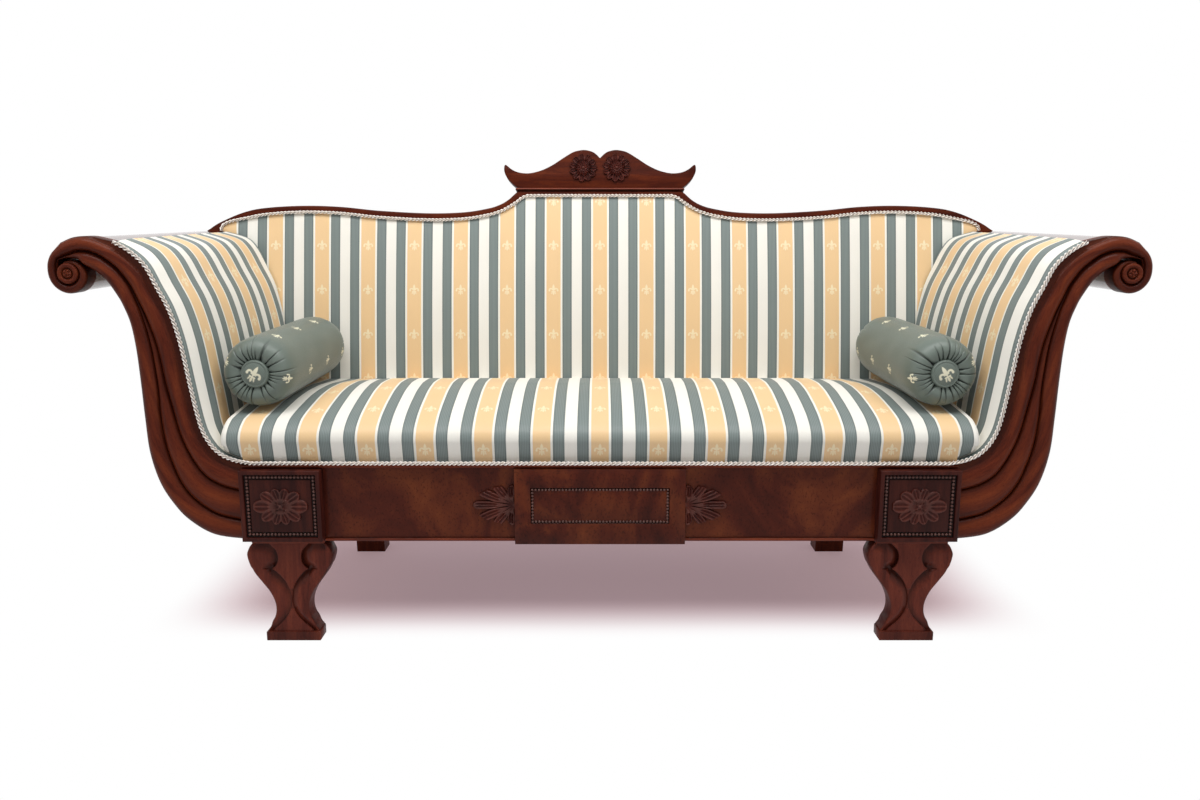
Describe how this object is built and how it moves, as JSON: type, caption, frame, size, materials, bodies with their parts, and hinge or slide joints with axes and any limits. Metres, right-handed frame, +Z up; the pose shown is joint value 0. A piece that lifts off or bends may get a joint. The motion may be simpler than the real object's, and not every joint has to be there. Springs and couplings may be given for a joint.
{
  "type": "scroll-arm settee",
  "caption": "Long upholstered settee with reeded scroll arms, a raked serpentine back with a carved crest, carved front legs and a loose bolster along each arm.",
  "frame": {"origin": "centre of the bounding box at floor level, under the middle of the settee", "axes": "+X to the right along the settee seen from the front, the front faces -Y, +Z up"},
  "size_m": [2.0734, 0.6097, 0.9986],
  "materials": {
    "mahogany": "french-polished dark mahogany",
    "flame_veneer": "polished flame mahogany veneer",
    "beech": "unpolished beech under the upholstery",
    "striped_cloth": "woven satin stripe in green, cream and tan with small motifs on the tan",
    "bolster_satin": "grey-green ribbed satin with scattered cream motifs",
    "cord": "twisted cream and green silk cord",
    "jute": "plain woven jute webbing and hessian",
    "black_cloth": "thin black lining cloth",
    "spring_steel": "coppered spring wire"
  },
  "bodies": {
    "root": {"front_rail": "mahogany", "rear_rail": "beech", "side_rail_left": "beech", "side_rail_right": "beech", "seat_stretchers": "beech", "corner_braces": "beech", "rail_top_moulding": "mahogany", "rail_bottom_moulding": "mahogany", "centre_plaque": "flame_veneer", "plaque_beads": "mahogany", "palmette_left": "mahogany", "palmette_right": "mahogany", "corner_block_left": "mahogany", "corner_block_right": "mahogany", "block_beads_left": "mahogany", "block_beads_right": "mahogany", "block_rosette_left": "mahogany", "block_rosette_right": "mahogany", "front_leg_left": "mahogany", "front_leg_right": "mahogany", "rear_leg_left": "mahogany", "rear_leg_right": "mahogany", "arm_facing_left": "mahogany", "arm_facing_right": "mahogany", "scroll_boss_left": "mahogany", "scroll_boss_right": "mahogany", "arm_roll_left": "mahogany", "arm_roll_right": "mahogany", "arm_board_left": "beech", "arm_board_right": "beech", "arm_rear_frame_left": "mahogany", "arm_rear_frame_right": "mahogany", "arm_cover_left": "striped_cloth", "arm_cover_right": "striped_cloth", "arm_pad_left": "striped_cloth", "arm_pad_right": "striped_cloth", "back_bottom_rail": "beech", "back_top_rail": "mahogany", "back_centre_upright": "beech", "crest_board": "mahogany", "crest_ledge": "mahogany", "crest_rosettes": "mahogany", "back_webbing": "jute", "back_pad": "striped_cloth", "back_cover": "striped_cloth", "seat_webbing": "jute", "seat_springs": "spring_steel", "seat_underlay": "jute", "seat_pad": "striped_cloth", "bottom_cloth": "black_cloth", "seat_cord": "cord", "back_cord": "cord"},
    "bolster_left": {"bolster_left": "bolster_satin", "bolster_buttons_left": "bolster_satin"},
    "bolster_right": {"bolster_right": "bolster_satin", "bolster_buttons_right": "bolster_satin"}
  },
  "joints": [
    {"name": "lift_bolster_left", "type": "slide", "parent": "root", "child": "bolster_left", "axis": [0, 0, 1], "range_m": [0, 0.3]},
    {"name": "lift_bolster_right", "type": "slide", "parent": "root", "child": "bolster_right", "axis": [0, 0, 1], "range_m": [0, 0.3]}
  ]
}
